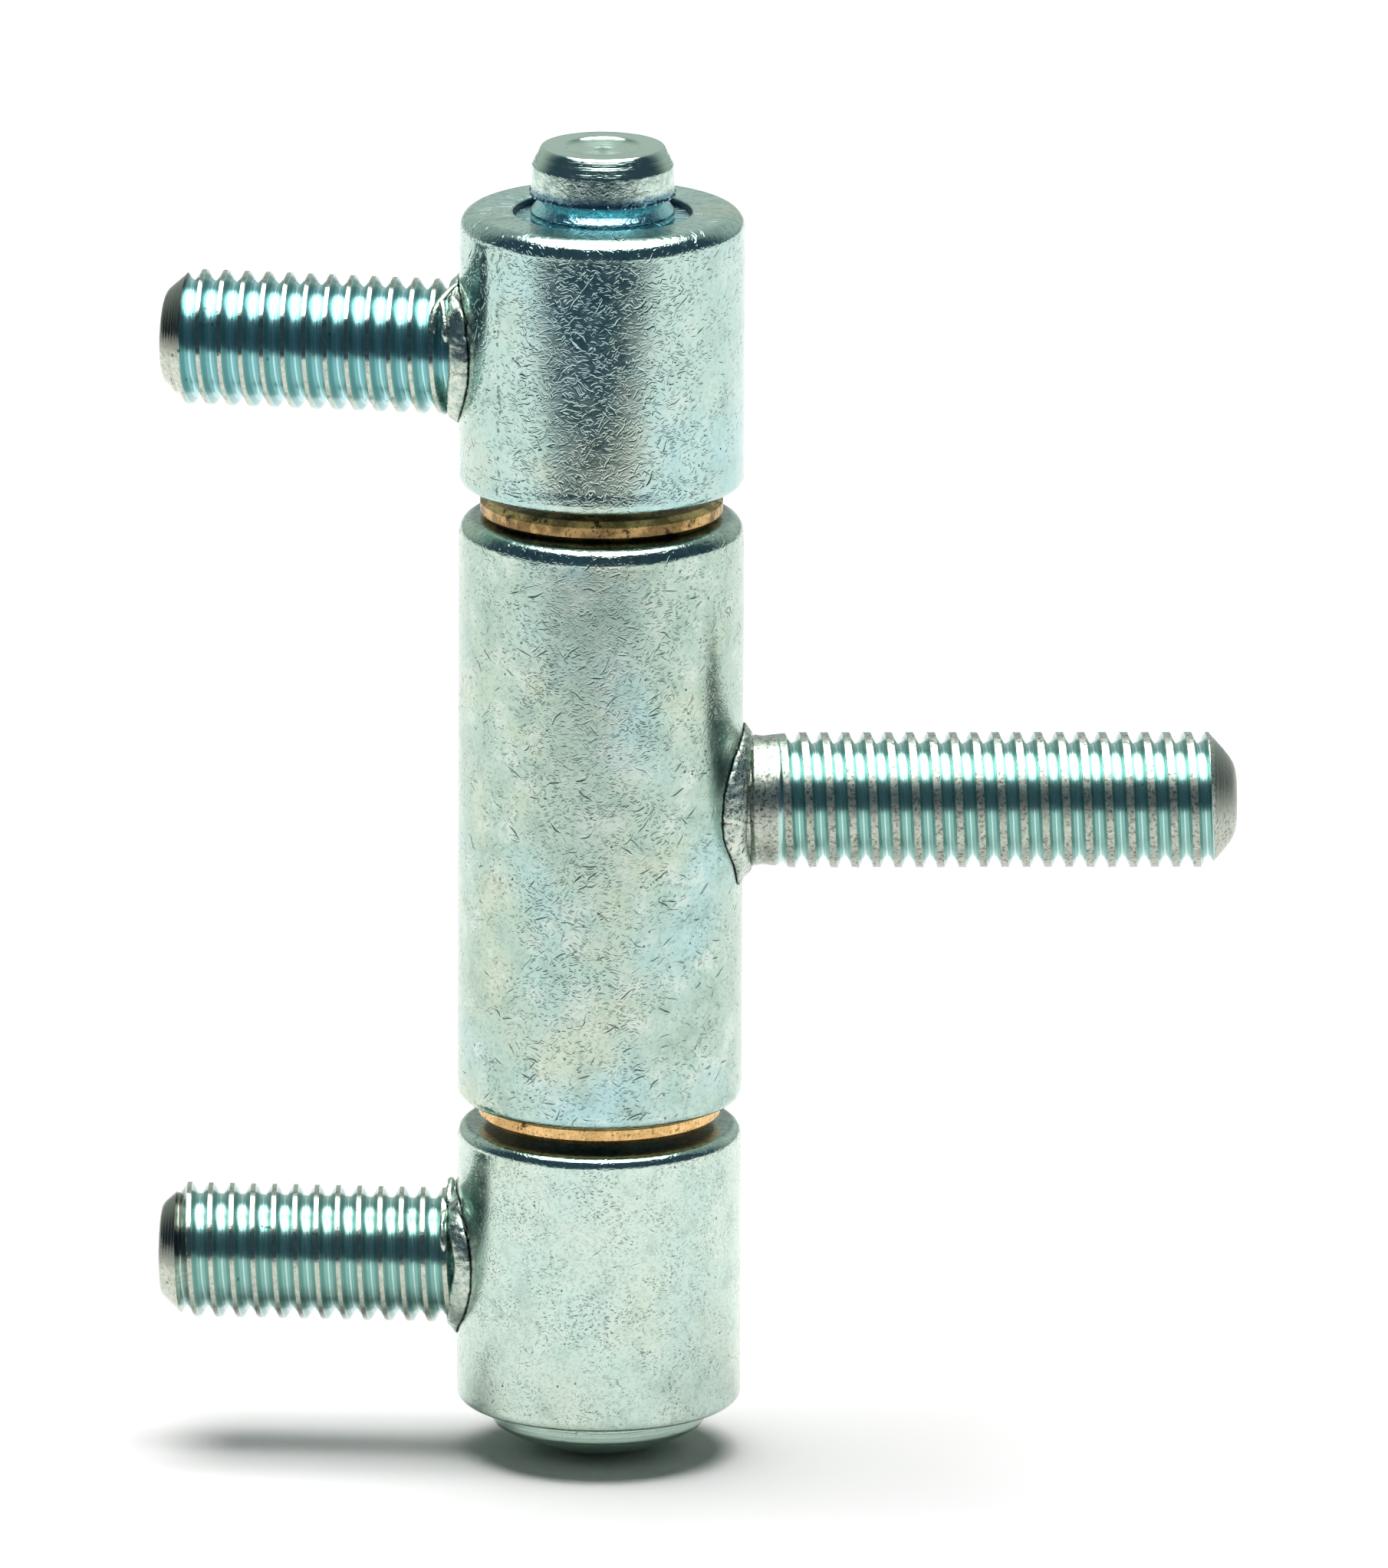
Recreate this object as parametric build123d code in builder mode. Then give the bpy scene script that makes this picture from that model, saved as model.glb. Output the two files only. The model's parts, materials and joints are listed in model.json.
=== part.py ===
# Three-part drill-in hinge: three round knuckles in a row on one pin, each carried by a threaded stud.
# The middle knuckle turns on two flanged bronze bushes, the outer two are the fixed side.
# Origin: on the middle stud's axis, at the plane where its thread begins and the wood comes up to it.
# +X runs out along the middle stud, +Z runs up along the pin, and all sizes are millimetres.
import os
from math import cos, radians, sin

from build123d import *

# Driving dimensions of the knuckles, whose wall is the one outside the bush
knuckle_wall = 3.45
top_length = 19.6
middle_length = 42.0
bottom_length = 20.0
upper_edge_round = 1.25
lower_edge_round = 0.7
bottom_edge_round = 0.8
foot_edge_round = 0.6
recess_width = 1.2
recess_depth = 0.5
recess_lip_round = 0.3

# Driving dimensions of the pin, whose dished end has a short sloping wall round a shallow floor
pin_radius = 5.0
pin_protrusion = 4.6
pin_chamfer_length = 1.3
pin_chamfer_depth = 0.7
dish_rim_width = 1.6
dish_wall_height = 0.15
dish_depth = 0.08
head_setback = 2.4
head_edge_height = 1.55
head_crown_height = 2.27
head_shoulder_round = 0.5

# Driving dimensions of the flanged bushes and of the running gaps
running_clearance = 0.05
bush_wall = 1.5
bush_length = 15.0
flange_setback = 1.5
flange_thickness = 1.5
bush_edge_chamfer = 0.4
lower_gap = 0.5
upper_gap = 0.8

# Driving dimensions of the studs, where a reach is from the pin's axis to the stud's tip.
# Each stud is a plain shaft of its thread's crest size, and the thread itself is in the visual model.
stud_radius = 4.75
long_reach = 44.65
short_reach = 30.9
tip_chamfer = 1.6
tip_round = 0.5
collar_radius = 5.3
collar_rise = 0.7
seat_standoff = 1.5

# How far the middle stud is welded above the middle of its knuckle, and the top stud below the middle of its own
middle_stud_rise = 0.35
top_stud_drop = 0.5

# How far the two outer studs are turned back from a straight line with the middle one, in degrees
top_turn = 10.0
bottom_turn = 5.0

# Heights along the pin, stacked from the middle knuckle outwards
middle_high = middle_length / 2 - middle_stud_rise
middle_low = middle_high - middle_length
upper_flange_high = middle_high + flange_thickness
lower_flange_low = middle_low - flange_thickness
top_low = upper_flange_high + upper_gap
top_high = top_low + top_length
bottom_high = lower_flange_low - lower_gap
bottom_low = bottom_high - bottom_length
pin_end = top_high + pin_protrusion
top_stud_height = (top_low + top_high) / 2 - top_stud_drop
bottom_stud_height = (bottom_low + bottom_high) / 2

# Radii, from the pin outwards through the bush and the knuckle's wall to the barrel's surface
dish_radius = pin_radius - pin_chamfer_depth - dish_rim_width
recess_radius = pin_radius + recess_width
bush_bore_radius = pin_radius + running_clearance
bush_radius = bush_bore_radius + bush_wall
barrel_radius = bush_radius + knuckle_wall
flange_radius = barrel_radius - flange_setback
head_radius = barrel_radius - head_setback

# The pin's axis stands at minus X, and round profiles are drawn in a plane through it
seat_reach = barrel_radius + seat_standoff
pin_axis = Axis((-seat_reach, 0, 0), (0, 0, 1))
pin_section = Plane(origin=(-seat_reach, 0, 0), x_dir=(1, 0, 0), z_dir=(0, -1, 0))


def across_pin(height):
    """A plane square to the pin, centred on its axis."""
    return Plane(origin=(-seat_reach, 0, height))


def knuckle_blank(low, high, bore_radius, top_round, bottom_round):
    """A turned tube round the pin, with both outer edges rounded."""
    with BuildPart() as blank:
        with BuildSketch(across_pin(low)):
            Circle(barrel_radius)
            Circle(bore_radius, mode=Mode.SUBTRACT)
        extrude(amount=high - low)
        rims = blank.edges().filter_by(GeomType.CIRCLE).group_by(SortBy.RADIUS)[-1].sort_by(Axis.Z)
        fillet(rims[-1], top_round)
        rims = blank.edges().filter_by(GeomType.CIRCLE).group_by(SortBy.RADIUS)[-1].sort_by(Axis.Z)
        fillet(rims[0], bottom_round)
    return blank.part


def stud(height, reach, bearing):
    """A stud with a weld collar at its root, seated on the barrel and pointing along the bearing."""
    outwards = (cos(radians(bearing)), sin(radians(bearing)), 0)
    stud_section = Plane(origin=(-seat_reach, 0, height), x_dir=outwards, z_dir=(outwards[1], -outwards[0], 0))
    buried = barrel_radius / 2
    with BuildPart() as rod:
        with BuildSketch(stud_section):
            with BuildLine():
                Polyline(
                    (buried, 0),
                    (buried, collar_radius),
                    (barrel_radius + collar_rise, collar_radius),
                    (seat_reach, stud_radius),
                    (reach - tip_chamfer, stud_radius),
                    (reach, stud_radius - tip_chamfer),
                    (reach, 0),
                    close=True,
                )
            make_face()
        revolve(axis=Axis(stud_section.origin, stud_section.x_dir))
        tip_edge = rod.edges().filter_by(GeomType.CIRCLE).group_by(SortBy.RADIUS)[0]
        fillet(tip_edge, tip_round)
        with BuildSketch(across_pin(height - barrel_radius)):
            Circle(barrel_radius)
        extrude(amount=2 * barrel_radius, mode=Mode.SUBTRACT)
    return rod.part


# Top knuckle: turns on the pin, and a shallow turned recess with a soft lip surrounds the pin's end
with BuildPart() as top_knuckle:
    add(knuckle_blank(top_low, top_high, bush_bore_radius, upper_edge_round, lower_edge_round))
    with BuildSketch(across_pin(top_high)):
        Circle(recess_radius)
    extrude(amount=-recess_depth, mode=Mode.SUBTRACT)
    lip = top_knuckle.edges().filter_by(GeomType.CIRCLE).group_by(Axis.Z)[-1].sort_by(SortBy.RADIUS)[0]
    fillet(lip, recess_lip_round)

# Middle knuckle: a plain tube whose bore holds a bush at each end
with BuildPart() as middle_knuckle:
    add(knuckle_blank(middle_low, middle_high, bush_radius, upper_edge_round, lower_edge_round))

# Bottom knuckle: pressed on the pin, above its head
with BuildPart() as bottom_knuckle:
    add(knuckle_blank(bottom_low, bottom_high, pin_radius, bottom_edge_round, foot_edge_round))

# Hinge pin: one turned piece with a low domed head below and a chamfered, dished end above
head_low = bottom_low - head_edge_height - head_crown_height
crown_sphere_radius = (head_radius**2 + head_crown_height**2) / (2 * head_crown_height)
dish_floor_radius = dish_radius - dish_wall_height
dish_sphere_radius = (dish_floor_radius**2 + dish_depth**2) / (2 * dish_depth)
with BuildPart() as hinge_pin:
    with BuildSketch(pin_section):
        with BuildLine():
            crown = RadiusArc((0, head_low), (head_radius, bottom_low - head_edge_height), -crown_sphere_radius)
            Polyline(
                crown @ 1,
                (head_radius, bottom_low),
                (pin_radius, bottom_low),
                (pin_radius, pin_end - pin_chamfer_length),
                (pin_radius - pin_chamfer_depth, pin_end),
                (dish_radius, pin_end),
                (dish_floor_radius, pin_end - dish_wall_height),
            )
            dish_middle = (0, pin_end - dish_wall_height - dish_depth)
            dish = RadiusArc((dish_floor_radius, pin_end - dish_wall_height), dish_middle, dish_sphere_radius)
            Line(dish @ 1, crown @ 0)
        make_face()
    revolve(axis=pin_axis)
    head_rims = hinge_pin.edges().filter_by(GeomType.CIRCLE).group_by(SortBy.LENGTH)[-1]
    fillet(head_rims.sort_by(Axis.Z)[0], head_shoulder_round)


def flanged_bush(seat, outward):
    """A bush pressed into the middle knuckle's end face at the seat, its flange pointing outward."""
    flange_face = seat + outward * flange_thickness
    sleeve_end = seat - outward * bush_length
    with BuildPart() as bush:
        with BuildSketch(pin_section):
            with BuildLine():
                Polyline(
                    (bush_bore_radius, flange_face),
                    (flange_radius, flange_face),
                    (flange_radius, seat),
                    (bush_radius, seat),
                    (bush_radius, sleeve_end),
                    (bush_bore_radius, sleeve_end),
                    close=True,
                )
            make_face()
        revolve(axis=pin_axis)
        rims = bush.edges().filter_by(GeomType.CIRCLE).group_by(SortBy.RADIUS)[-1]
        chamfer(rims, bush_edge_chamfer)
    return bush.part


# Upper bush: its flange lies on the middle knuckle's upper face
with BuildPart() as upper_bush:
    add(flanged_bush(middle_high, 1))

# Lower bush: its flange carries the middle knuckle's lower face
with BuildPart() as lower_bush:
    add(flanged_bush(middle_low, -1))

# Middle stud: the long one, for the door
with BuildPart() as middle_stud:
    add(stud(0, long_reach, 0))

# Top and bottom studs: the short ones, for the frame, on the far side of the pin
with BuildPart() as top_stud:
    add(stud(top_stud_height, short_reach, 180 - top_turn))
with BuildPart() as bottom_stud:
    add(stud(bottom_stud_height, short_reach, 180 - bottom_turn))

top_knuckle.part.label = "top_knuckle"
middle_knuckle.part.label = "middle_knuckle"
bottom_knuckle.part.label = "bottom_knuckle"
hinge_pin.part.label = "hinge_pin"
upper_bush.part.label = "upper_bush"
lower_bush.part.label = "lower_bush"
middle_stud.part.label = "middle_stud"
top_stud.part.label = "top_stud"
bottom_stud.part.label = "bottom_stud"

os.makedirs("parts", exist_ok=True)
export_step(top_knuckle.part, "parts/top_knuckle.step")
export_step(middle_knuckle.part, "parts/middle_knuckle.step")
export_step(bottom_knuckle.part, "parts/bottom_knuckle.step")
export_step(hinge_pin.part, "parts/hinge_pin.step")
export_step(upper_bush.part, "parts/upper_bush.step")
export_step(lower_bush.part, "parts/lower_bush.step")
export_step(middle_stud.part, "parts/middle_stud.step")
export_step(top_stud.part, "parts/top_stud.step")
export_step(bottom_stud.part, "parts/bottom_stud.step")
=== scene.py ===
# %% [markdown]
# # Dressing a drill-in hinge
# The solids of this hinge are already made at their real size: three round knuckles on one pin, two flanged
# bushes between them, and a stud for each knuckle. This lesson gives them their looks. It rolls real threads,
# lays torn weld flash round the roots of the studs, and finishes every surface as bright zinc or bronze.
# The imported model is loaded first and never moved, because every new piece takes its place from it.

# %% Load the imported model
import json
from math import atan2, cos, pi, radians, sin, sqrt

import bmesh
import bpy
from mathutils import Matrix, Vector, noise


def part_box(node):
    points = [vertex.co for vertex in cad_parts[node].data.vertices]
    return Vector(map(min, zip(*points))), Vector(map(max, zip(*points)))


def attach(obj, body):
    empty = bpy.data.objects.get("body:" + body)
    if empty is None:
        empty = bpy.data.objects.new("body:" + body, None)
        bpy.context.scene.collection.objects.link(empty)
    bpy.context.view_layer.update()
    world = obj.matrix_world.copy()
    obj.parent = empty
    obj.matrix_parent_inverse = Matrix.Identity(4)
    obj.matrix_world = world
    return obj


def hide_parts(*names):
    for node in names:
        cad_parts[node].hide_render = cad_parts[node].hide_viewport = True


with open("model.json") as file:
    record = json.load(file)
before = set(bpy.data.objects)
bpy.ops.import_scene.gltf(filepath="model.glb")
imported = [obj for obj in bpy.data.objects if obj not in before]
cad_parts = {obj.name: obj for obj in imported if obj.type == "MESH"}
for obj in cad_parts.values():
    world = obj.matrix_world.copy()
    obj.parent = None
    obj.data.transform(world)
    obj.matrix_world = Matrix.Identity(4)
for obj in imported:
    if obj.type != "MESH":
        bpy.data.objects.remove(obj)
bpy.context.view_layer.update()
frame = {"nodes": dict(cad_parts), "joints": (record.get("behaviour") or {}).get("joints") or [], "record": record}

print("nodes:", sorted(frame["nodes"]))

# %% [markdown]
# The hinge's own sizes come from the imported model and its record, so that a changed size carries through:
# the pin's axis from the joint, the barrel from the top knuckle's box, and each stud's line from its mount.
# All shapes are drawn in millimetres and turned into metres at the end, as the frame is in metres.

# %% Read the hinge's sizes
mm = 0.001
joint = {j["name"]: j for j in frame["joints"]}
mount = {m["name"]: m for m in frame["record"]["mounts"]}
pin_x = joint["door_swing"]["pos_m"][0]
top_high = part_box("top_knuckle")[1].z / mm
bottom_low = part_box("bottom_knuckle")[0].z / mm
pin_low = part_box("hinge_pin")[0].z / mm
pin_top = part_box("hinge_pin")[1].z / mm
barrel_radius = (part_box("top_knuckle")[1].x - pin_x) / mm
tip_chamfer = 1.6


def stud_facts(mount_name, crest_at, crest_half):
    """A stud's line from the pin's axis, its crest radius and reach, and where its thread starts, in mm."""
    facts = mount[mount_name]
    direction = Vector(facts["axis"]).normalized()
    seat = Vector(facts["pos_m"])
    seat_reach = (seat - Vector((pin_x, 0, seat.z))).length / mm
    return {
        "start": Vector((pin_x, 0, seat.z)),
        "direction": direction,
        "crest_radius": facts["dims"]["r_mm"],
        "reach": seat_reach + facts["dims"]["length_mm"] + tip_chamfer,
        "crest_at": crest_at,
        "crest_half": crest_half,
    }


door_stud = stud_facts("door_stud", 14.2, 0.182)
upper_stud = stud_facts("upper_frame_stud", 28.22, 0.112)
lower_stud = stud_facts("lower_frame_stud", 18.41, 0.122)
print("barrel radius", round(barrel_radius, 3), "pin from", round(pin_low, 2), "to", round(pin_top, 2))
print("reaches", [round(s["reach"], 2) for s in (door_stud, upper_stud, lower_stud)])

# %% [markdown]
# A stud is easiest to model lying along X, from the pin's axis outwards, and to swing into place when it is
# done. The matrix below turns X into the stud's direction, keeps Z up, and scales millimetres to metres.

# %% Place a piece on its stud
def place_on(stud):
    """The matrix that takes a shape drawn along X, in mm, to its place on the hinge."""
    along = stud["direction"]
    up = Vector((0, 0, 1))
    side = up.cross(along)
    turn = Matrix((along, side, up)).transposed().to_4x4()
    return Matrix.Translation(stud["start"]) @ turn @ Matrix.Scale(mm, 4)


def finish_piece(bm, name, body, sharp_angle=40):
    """Turns a bmesh into a finished piece at the origin, with its faces outwards and its sharp edges marked."""
    bmesh.ops.recalc_face_normals(bm, faces=bm.faces)
    mesh = bpy.data.meshes.new(name)
    bm.to_mesh(mesh)
    bm.free()
    mesh.shade_smooth()
    mesh.set_sharp_from_angle(angle=radians(sharp_angle))
    piece = bpy.data.objects.new(name, mesh)
    bpy.context.scene.collection.objects.link(piece)
    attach(piece, body)
    print(name, "has", sum(len(p.vertices) - 2 for p in mesh.polygons), "triangles")
    return piece


def smooth_step(low, high, value):
    share = min(1, max(0, (value - low) / (high - low)))
    return share * share * (3 - 2 * share)


# %% [markdown]
# The thread is rolled, not cut, so its roots are round and smooth, and its crests stay a little flat where the
# metal didn't fill the dies. The long stud's crests are wider than those of the short ones. One pitch of that
# outline, repeated along the stud, is spun once round while it moves on by one pitch. Each turn then meets the
# next, and merging the doubles closes the seam: a true helix.

# %% Roll a thread
thread_pitch = 1.5
root_radius = 3.97
thread_steps = 96


def thread_outline(crest_half):
    """One pitch from the middle of a root to the next: shares of the pitch and of the thread's height."""
    edge = 0.5 - crest_half
    rising = [
        (0.0, 0.0), (0.035, 0.012), (0.075, 0.06), (0.115, 0.15), (edge - 0.02, 0.86),
        (edge - 0.004, 0.95), (edge + 0.018, 1.0),
    ]
    falling = [(1 - share, fill) for share, fill in reversed(rising[1:])]
    return rising + [(0.5, 0.985)] + falling


def helix(stud, begin, end, height_at):
    """A helical surface along X whose radius is shaped by height_at(x, radius), capped at begin and end."""
    bm = bmesh.new()
    height = stud["crest_radius"] - root_radius
    first_root = stud["crest_at"] - thread_pitch / 2
    chain = []
    pitches = int((end - begin) / thread_pitch) + 4
    lowest = first_root - thread_pitch * (int((first_root - begin) / thread_pitch) + 3)
    for turn in range(pitches + 1):
        for share, fill in thread_outline(stud["crest_half"]):
            x = lowest + (turn + share) * thread_pitch
            chain.append(bm.verts.new((x, 0, root_radius + height * fill)))
    for a, b in zip(chain, chain[1:]):
        bm.edges.new((a, b))
    step = Vector((thread_pitch / thread_steps, 0, 0))
    bmesh.ops.spin(bm, geom=bm.verts[:] + bm.edges[:], cent=(0, 0, 0), axis=(1, 0, 0), dvec=step,
                   angle=2 * pi, steps=thread_steps, use_merge=False)
    bmesh.ops.remove_doubles(bm, verts=bm.verts, dist=0.002)
    for vertex in bm.verts:
        flat = Vector((0, vertex.co.y, vertex.co.z))
        wanted = height_at(vertex.co.x, flat.length)
        vertex.co = Vector((vertex.co.x, 0, 0)) + flat.normalized() * wanted
    for where, side in ((begin, -1), (end, 1)):
        cut = bmesh.ops.bisect_plane(bm, geom=bm.verts[:] + bm.edges[:] + bm.faces[:], dist=0.0001,
                                     plane_co=(where, 0, 0), plane_no=(side, 0, 0), clear_outer=True)
        rim = [g for g in cut["geom_cut"] if isinstance(g, bmesh.types.BMEdge)]
        bmesh.ops.contextual_create(bm, geom=rim)
    bmesh.ops.recalc_face_normals(bm, faces=bm.faces)
    return bm


def turned(outline, axis=(1, 0, 0), steps=96):
    """A closed solid turned round an axis from a half outline of points that starts and ends on the axis."""
    bm = bmesh.new()
    points = [bm.verts.new(point) for point in outline]
    for a, b in zip(points, points[1:]):
        bm.edges.new((a, b))
    bmesh.ops.spin(bm, geom=bm.verts[:] + bm.edges[:], cent=(0, 0, 0), axis=axis, dvec=(0, 0, 0),
                   angle=2 * pi, steps=steps, use_merge=True)
    bmesh.ops.remove_doubles(bm, verts=bm.verts, dist=0.0001)
    bmesh.ops.recalc_face_normals(bm, faces=bm.faces)
    return bm


def carved(bm, tool, operation):
    """The first solid after a boolean with the second, as a new bmesh."""
    objects = []
    for shape in (bm, tool):
        mesh = bpy.data.meshes.new("working")
        shape.to_mesh(mesh)
        shape.free()
        working = bpy.data.objects.new("working", mesh)
        bpy.context.scene.collection.objects.link(working)
        objects.append(working)
    modifier = objects[0].modifiers.new("carve", "BOOLEAN")
    modifier.operation = operation
    modifier.solver = "EXACT"
    modifier.object = objects[1]
    graph = bpy.context.evaluated_depsgraph_get()
    result = bpy.data.meshes.new_from_object(objects[0].evaluated_get(graph))
    out = bmesh.new()
    out.from_mesh(result)
    for working in objects:
        bpy.data.objects.remove(working)
    bpy.data.meshes.remove(result)
    return out


# %% [markdown]
# A stud is more than its thread. The outer end is turned to a chamfer that runs out below the roots, so the last
# thread fades into it, and the end is slightly domed. Both come from cutting the helix with a turned
# envelope. The inner end is hollowed by the barrel, so that it sits on the round wall as a welded stud does.

# %% Make the three threaded studs
seat_overlap = 0.03
cutter_height = 16
# Distance back from the tip, and radius there
domed_tip = [(3.0, 6.0), (1.9, 4.62), (1.05, 3.68), (0.55, 3.05), (0.3, 2.65), (0.13, 2.2), (0.04, 1.6)]
blunt_tip = [(3.0, 6.0), (1.72, 4.72), (0.95, 4.02), (0.5, 3.62), (0.22, 3.36), (0.08, 3.16), (0.01, 2.95)]


def stud_envelope(reach, tip):
    """The outline that a stud is turned to, from inside the barrel to its tip."""
    inner = barrel_radius / 2
    outline = [(inner, 0, 0), (inner, 0, 6)]
    outline += [(reach - back, 0, radius) for back, radius in tip]
    return outline + [(reach, 0, 0)]


def barrel_cutter():
    """A cylinder as wide as the barrel, a hair less, standing on the pin's axis."""
    bm = bmesh.new()
    radius = barrel_radius - seat_overlap
    bmesh.ops.create_cone(bm, cap_ends=True, segments=160, radius1=radius, radius2=radius, depth=cutter_height)
    return bm


def threaded_stud(name, node, body, stud, tip, height_at):
    """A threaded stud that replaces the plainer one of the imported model."""
    bm = helix(stud, barrel_radius * 0.75, stud["reach"] + 0.5, height_at)
    bm = carved(bm, turned(stud_envelope(stud["reach"], tip)), "INTERSECT")
    bm = carved(bm, barrel_cutter(), "DIFFERENCE")
    bmesh.ops.remove_doubles(bm, verts=bm.verts, dist=0.0005)
    bmesh.ops.transform(bm, matrix=place_on(stud), verts=bm.verts)
    piece = finish_piece(bm, name, body)
    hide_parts(node)
    return piece


def worn(x, radius, seed):
    """A rolled radius with the slight lumps that its crests have."""
    lump = noise.noise(Vector((x * 2.1, radius * 3, seed)))
    return radius + 0.03 * lump * max(0, radius - root_radius)


def door_height(x, radius):
    """The door stud has a groove by the weld, a plain neck, and a thread that deepens over its first turns."""
    neck = 4.62 - 0.1 * sin(pi * smooth_step(10.6, 12.2, x))
    neck = neck + (4.25 - neck) * (1 - smooth_step(10.45, 10.7, x))
    return neck + (worn(x, radius, 1) - neck) * smooth_step(12.0, 13.7, x)


door_thread = threaded_stud("door_stud_thread", "middle_stud", "door_side", door_stud, domed_tip, door_height)
upper_thread = threaded_stud("upper_stud_thread", "top_stud", "upper_frame_side", upper_stud, blunt_tip,
                             lambda x, radius: worn(x, radius, 2))
lower_thread = threaded_stud("lower_stud_thread", "bottom_stud", "lower_frame_side", lower_stud, blunt_tip,
                             lambda x, radius: worn(x, radius, 3))

# %% [markdown]
# Each stud was welded on under pressure, and the hot metal was squeezed out into a torn collar that hugs the
# barrel. A profile is spun round the stud, then every point is lifted onto the barrel's curve and pushed about by
# noise: slow waves for the torn outline, and quick ones for the lumps. Noise from a fixed seed gives the same
# collar every time. In front the wall falls away from the stud, so the collar is deeper there.

# %% Lay the weld flash
flash_steps = 240
# Distance from the stud's axis and share of the collar's depth, from under the lip to inside the thread
squeezed_collar = [
    (4.3, -0.35), (4.75, -0.2), (4.98, -0.08), (5.10, 0.05), (5.12, 0.2), (5.06, 0.4), (5.0, 0.6),
    (4.93, 0.78), (4.84, 0.92), (4.68, 1.0), (4.5, 1.02), (4.3, 0.96), (3.9, 0.9),
]
welded_bead = [
    (4.3, -0.3), (4.9, -0.2), (5.22, -0.08), (5.38, 0.06), (5.36, 0.22), (5.26, 0.4), (5.12, 0.57),
    (4.96, 0.72), (4.78, 0.86), (4.6, 0.97), (4.42, 1.03), (4.25, 1.0), (3.9, 0.9),
]


def squared(value):
    return value * value


def weld_flash(name, body, stud, profile, seed, roughness, tongues):
    """A torn collar round the root of a stud. Each tongue is (angle, width, reach) in degrees and mm."""
    bm = bmesh.new()
    points = [bm.verts.new((height, 0, radius)) for radius, height in profile]
    for a, b in zip(points, points[1:]):
        bm.edges.new((a, b))
    bmesh.ops.spin(bm, geom=bm.verts[:] + bm.edges[:], cent=(0, 0, 0), axis=(1, 0, 0), dvec=(0, 0, 0),
                   angle=2 * pi, steps=flash_steps, use_merge=True)
    bmesh.ops.remove_doubles(bm, verts=bm.verts, dist=0.0001)
    facing = -1 if stud["direction"].x < 0 else 1
    for vertex in bm.verts:
        share, y, z = vertex.co
        radius = sqrt(y * y + z * z)
        angle = atan2(z, -y * facing)
        ring = Vector((cos(angle), sin(angle), seed))
        free = smooth_step(4.4, 5.0, radius)
        slow = noise.noise(ring * 1.7)
        middle = noise.noise(ring * 5.0 + Vector((0, 0, share * 1.2)))
        quick = noise.noise(ring * 14.0 + Vector((0, 0, share * 3.0)))
        swell = 0.10 * slow + roughness * (0.10 * middle + 0.07 * quick)
        for at, width, length in tongues:
            apart = (angle - radians(at) + pi) % (2 * pi) - pi
            swell += length * smooth_step(radians(width), 0, abs(apart)) * smooth_step(0.7, 0.0, share)
        radius += free * swell
        y, z = -facing * radius * cos(angle), radius * sin(angle)
        depth = 0.68 + 0.62 * squared(y / 5)
        height = share * depth * (1 + 0.25 * slow) + 0.05 * roughness * quick * smooth_step(0.1, 0.5, share)
        wall = sqrt(max(0, squared(barrel_radius) - y * y))
        vertex.co = Vector((wall + height, y, z))
    bmesh.ops.transform(bm, matrix=place_on(stud), verts=bm.verts)
    return finish_piece(bm, name, body, sharp_angle=60)


door_flash = weld_flash("door_stud_flash", "door_side", door_stud, welded_bead, 3.0, 1.0,
                        [(-62, 16, 0.75), (-20, 12, 0.12), (92, 14, 0.15)])
upper_flash = weld_flash("upper_stud_flash", "upper_frame_side", upper_stud, squeezed_collar, 7.0, 0.9,
                         [(38, 14, 0.3), (95, 22, 0.3), (-80, 12, 0.1)])
lower_flash = weld_flash("lower_stud_flash", "lower_frame_side", lower_stud, squeezed_collar, 12.0, 0.6,
                         [(-78, 18, 0.45), (62, 16, 0.35), (100, 14, 0.3)])

# %% [markdown]
# The thinnest flash tore off in curled strips, which still hang on the collars of the two short studs. Each is a
# ribbon: a short edge pushed from point to point, then given a thickness. The points are written as a place along
# the stud, a distance from its axis and an angle up from the front.

# %% Curl the torn strips
def torn_strip(bm, stud, points):
    """Adds a ribbon through points of (along, radius, angle, half width), in mm and degrees, to a bmesh."""
    facing = -1 if stud["direction"].x < 0 else 1
    across = Vector((1, 0, 0))
    edge = None
    for along, radius, angle, half in points:
        middle = Vector((along, -facing * radius * cos(radians(angle)), radius * sin(radians(angle))))
        if edge is None:
            ends = [bm.verts.new(middle - across * half), bm.verts.new(middle + across * half)]
            edge = bm.edges.new(ends)
        else:
            grown = bmesh.ops.extrude_edge_only(bm, edges=[edge])
            edge = [g for g in grown["geom"] if isinstance(g, bmesh.types.BMEdge)][0]
            ends = sorted((v for v in edge.verts), key=lambda v: v.co.x)
            ends[0].co = middle - across * half
            ends[1].co = middle + across * half


def torn_strips(name, body, stud, strips):
    """The curled strips of one stud as a single piece, each 0.17 mm thick."""
    bm = bmesh.new()
    for points in strips:
        torn_strip(bm, stud, points)
    bmesh.ops.recalc_face_normals(bm, faces=bm.faces)
    bmesh.ops.solidify(bm, geom=bm.faces[:], thickness=0.17)
    bmesh.ops.subdivide_edges(bm, edges=bm.edges[:], cuts=1, use_grid_fill=True, smooth=0.6)
    for vertex in bm.verts:
        shake = noise.noise_vector(vertex.co * 2.5)
        vertex.co += shake * 0.05
    bmesh.ops.transform(bm, matrix=place_on(stud), verts=bm.verts)
    return finish_piece(bm, name, body, sharp_angle=60)


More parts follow.
